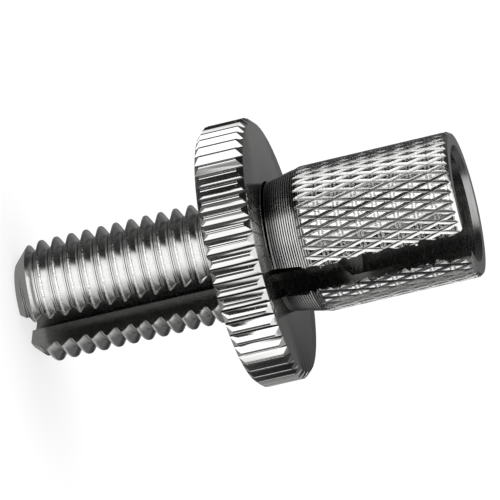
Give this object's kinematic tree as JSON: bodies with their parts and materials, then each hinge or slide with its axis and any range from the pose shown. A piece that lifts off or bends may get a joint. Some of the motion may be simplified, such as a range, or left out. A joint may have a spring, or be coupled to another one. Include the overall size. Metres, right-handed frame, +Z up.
{
  "type": "adjusting screw",
  "caption": "Hollow adjusting screw for a control cable: threaded shank, knurled barrel, full-length slot and a toothed lock ring on the thread.",
  "frame": {"origin": "centre of the thread end face", "axes": "+Z up the axis from the thread end to the barrel end, slot opening towards -Y"},
  "size_m": [0.0212, 0.0212, 0.0364],
  "materials": {
    "screw_steel": "bright plated, turned and knurled",
    "ring_steel": "bright plated, polished faces"
  },
  "bodies": {
    "screw": {"adjusting_screw": "screw_steel"},
    "ring": {"lock_ring": "ring_steel"}
  },
  "joints": [
    {"name": "lock_ring_travel", "type": "slide", "parent": "screw", "child": "ring", "axis": [0, 0, 1], "range_m": [-0.015, 0]}
  ]
}
